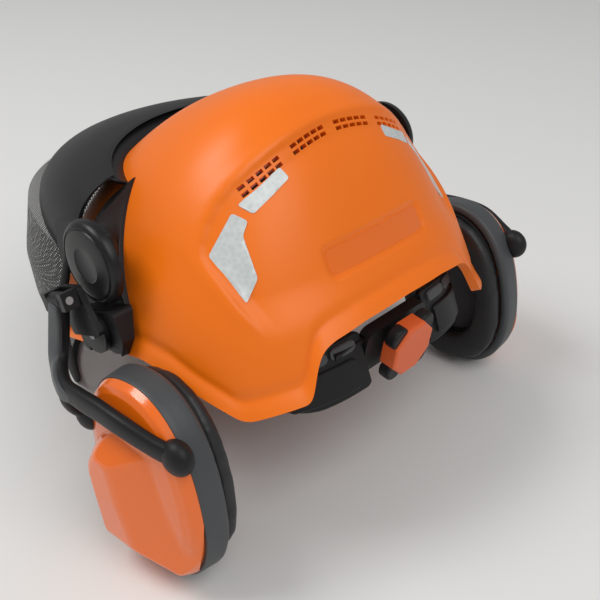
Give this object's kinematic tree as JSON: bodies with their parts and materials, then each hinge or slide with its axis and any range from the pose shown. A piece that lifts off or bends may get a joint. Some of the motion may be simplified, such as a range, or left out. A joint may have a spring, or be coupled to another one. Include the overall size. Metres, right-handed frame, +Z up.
{
  "type": "forestry helmet",
  "caption": "Forestry safety helmet with ratchet harness, tilting mesh face visor and swivelling earmuffs on forked arms, lying nose-down on its muffs and visor hem.",
  "frame": {"origin": "middle of the bounding box, on the surface the helmet lies on", "axes": "+Z up; +Y to the nape of the helmet, -Y to the visor; +X to the wearer's left; the helmet leans nose-down by 22 degrees about X"},
  "size_m": [0.307, 0.2743, 0.2099],
  "materials": {
    "shell": "satin",
    "cup": "gloss",
    "reflector": "retroreflective film",
    "label": "smooth",
    "black_plastic": "moulded",
    "gloss_black": "gloss",
    "grey_plastic": "satin",
    "steel": "plain",
    "mesh": "black lacquer",
    "rubber_trim": "matt",
    "harness": "moulded",
    "webbing": "woven",
    "foam": "open foam",
    "cushion": "soft film over foam",
    "knob_orange": "satin"
  },
  "bodies": {
    "helmet": {"shell": "shell", "reflector_side_left": "reflector", "reflector_side_right": "reflector", "reflector_top_left": "reflector", "reflector_top_right": "reflector", "size_plate": "label", "side_bracket_left": "black_plastic", "side_bracket_right": "black_plastic", "pivot_pin_left": "steel", "pivot_pin_right": "steel", "arm_adapter_left": "black_plastic", "arm_adapter_right": "black_plastic", "headband": "harness", "brow_pad": "foam", "crown_strap_front": "webbing", "crown_strap_middle": "webbing", "crown_strap_rear": "webbing", "strap_clips": "harness", "crown_pad": "foam", "nape_cradle": "harness", "nape_pad": "foam", "ratchet_base": "harness", "ratchet_cover": "harness"},
    "visor": {"visor_band": "black_plastic", "visor_mesh": "mesh", "visor_trim": "rubber_trim", "pivot_cap_left": "gloss_black", "pivot_cap_right": "gloss_black"},
    "knob": {"knob_core": "knob_orange", "knob_grips": "black_plastic", "knob_screw": "steel", "pinion": "black_plastic"},
    "rack_left": {"rack_left": "harness"},
    "rack_right": {"rack_right": "harness"},
    "carrier_left": {"arm_carrier_left": "black_plastic", "turret_pin_left": "steel"},
    "turret_left": {"arm_turret_left": "gloss_black", "swing_pin_left": "steel"},
    "arm_left": {"arm_fork_left": "grey_plastic"},
    "cup_left": {"cup_shell_left": "cup", "cup_ring_left": "grey_plastic", "cup_plate_left": "black_plastic", "ear_cushion_left": "cushion", "cup_foam_left": "foam"},
    "carrier_right": {"arm_carrier_right": "black_plastic", "turret_pin_right": "steel"},
    "turret_right": {"arm_turret_right": "gloss_black", "swing_pin_right": "steel"},
    "arm_right": {"arm_fork_right": "grey_plastic"},
    "cup_right": {"cup_shell_right": "cup", "cup_ring_right": "grey_plastic", "cup_plate_right": "black_plastic", "ear_cushion_right": "cushion", "cup_foam_right": "foam"}
  },
  "joints": [
    {"name": "visor_tilt", "type": "hinge", "parent": "helmet", "child": "visor", "pos_m": [0, 0.02241, 0.14421], "axis": [-1, 0, 0], "range_deg": [0, 75]},
    {"name": "muff_height_left", "type": "slide", "parent": "helmet", "child": "carrier_left", "axis": [0, 0.3746, -0.9272], "range_m": [0, 0.01]},
    {"name": "muff_turn_left", "type": "hinge", "parent": "carrier_left", "child": "turret_left", "pos_m": [0.118, 0.0268, 0.10931], "axis": [-1, 0, 0], "range_deg": [0, 30]},
    {"name": "muff_swing_left", "type": "hinge", "parent": "turret_left", "child": "arm_left", "pos_m": [0.1274, 0.01523, 0.12728], "axis": [0, -0.9272, -0.3746], "range_deg": [0, 25]},
    {"name": "cup_tilt_left", "type": "hinge", "parent": "arm_left", "child": "cup_left", "pos_m": [0.1335, 0.07411, 0.08214], "axis": [0, 0.9781, 0.2079], "range_deg": [-3, 3]},
    {"name": "muff_height_right", "type": "slide", "parent": "helmet", "child": "carrier_right", "axis": [0, 0.3746, -0.9272], "range_m": [0, 0.01]},
    {"name": "muff_turn_right", "type": "hinge", "parent": "carrier_right", "child": "turret_right", "pos_m": [-0.118, 0.0268, 0.10931], "axis": [-1, 0, 0], "range_deg": [0, 30]},
    {"name": "muff_swing_right", "type": "hinge", "parent": "turret_right", "child": "arm_right", "pos_m": [-0.1274, 0.01523, 0.12728], "axis": [0, 0.9272, 0.3746], "range_deg": [0, 25]},
    {"name": "cup_tilt_right", "type": "hinge", "parent": "arm_right", "child": "cup_right", "pos_m": [-0.1335, 0.07411, 0.08214], "axis": [0, 0.9781, 0.2079], "range_deg": [-3, 3]},
    {"name": "knob_turn", "type": "hinge", "parent": "helmet", "child": "knob", "pos_m": [0, 0.13531, 0.09167], "axis": [0, 0.9903, -0.1392], "range_deg": [-150, 150]},
    {"name": "rack_left_slide", "type": "slide", "parent": "helmet", "child": "rack_left", "axis": [1, 0, 0], "range_m": [-0.0135, 0.0135]},
    {"name": "rack_right_slide", "type": "slide", "parent": "helmet", "child": "rack_right", "axis": [-1, 0, 0], "range_m": [-0.0135, 0.0135]}
  ],
  "couplings": [
    {"joint": "rack_left_slide", "follows": "knob_turn", "m_per_rad": 0.005},
    {"joint": "rack_right_slide", "follows": "knob_turn", "m_per_rad": 0.005}
  ]
}
